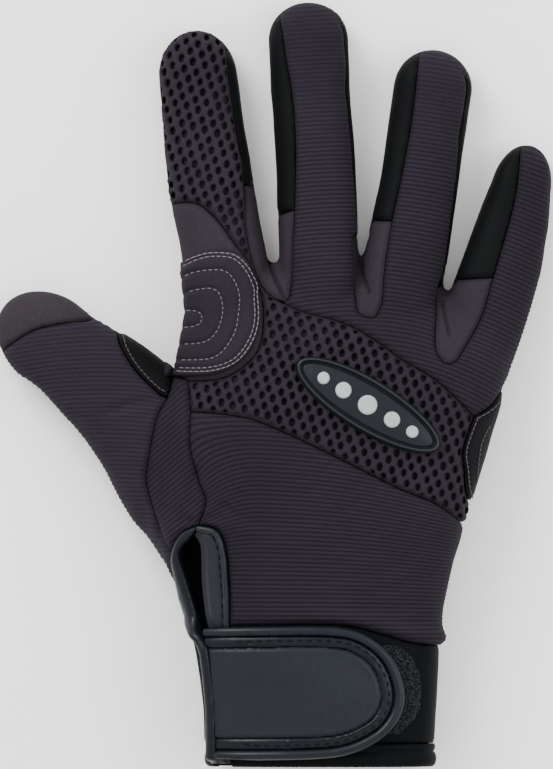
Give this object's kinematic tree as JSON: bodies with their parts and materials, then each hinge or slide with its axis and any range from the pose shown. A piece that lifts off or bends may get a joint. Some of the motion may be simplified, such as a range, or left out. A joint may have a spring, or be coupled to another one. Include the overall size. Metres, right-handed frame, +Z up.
{
  "type": "climbing glove",
  "caption": "Full-finger climbing glove for the right hand with ribbed and mesh back, padded knuckle patch and hook-and-loop wrist strap.",
  "frame": {"origin": "centre of the bounding box in X and Y, on the surface that the palm lies on", "axes": "+Y from the cuff to the fingertips, +X to the little finger, +Z up from the palm to the back of the hand"},
  "size_m": [0.1738, 0.2368, 0.0354],
  "materials": {
    "palm_leather": "fine grained synthetic leather, dark warm grey, matt",
    "ribbed_fabric": "fine cross-ribbed stretch knit, dark plum grey, matt",
    "mesh_fabric": "air mesh with small holes, dark plum grey, matt",
    "grey_leather": "smooth synthetic leather, dark grey, matt",
    "black_leather": "smooth black synthetic leather, satin",
    "cuff_fabric": "black coated stretch fabric, satin",
    "strap_fabric": "smooth moulded blue-black strap with a rolled edge, satin",
    "loop_fabric": "black napped loop fabric, matt",
    "badge_rubber": "moulded grey rubber, satin"
  },
  "bodies": {
    "root": {"palm_panel": "palm_leather", "thumb_front": "palm_leather", "upper_back": "ribbed_fabric", "lower_back": "ribbed_fabric", "thumb_back": "ribbed_fabric", "thumb_strip": "ribbed_fabric", "mesh_back": "mesh_fabric", "index_side_panel": "grey_leather", "knuckle_patch": "grey_leather", "index_gusset": "grey_leather", "ring_gusset": "grey_leather", "little_gusset": "grey_leather", "thumb_web_patch": "black_leather", "side_patch": "black_leather", "index_fourchette": "black_leather", "middle_fourchette": "black_leather", "ring_fourchette": "black_leather", "little_fourchette": "black_leather", "middle_side": "black_leather", "ring_side": "black_leather", "cuff_band": "cuff_fabric", "cuff_hem": "cuff_fabric", "slit_binding_left": "cuff_fabric", "slit_binding_right": "cuff_fabric", "wrist_strap": "strap_fabric", "strap_piping": "strap_fabric", "strap_panel": "strap_fabric", "loop_patch": "loop_fabric", "badge": "badge_rubber"}
  },
  "joints": []
}
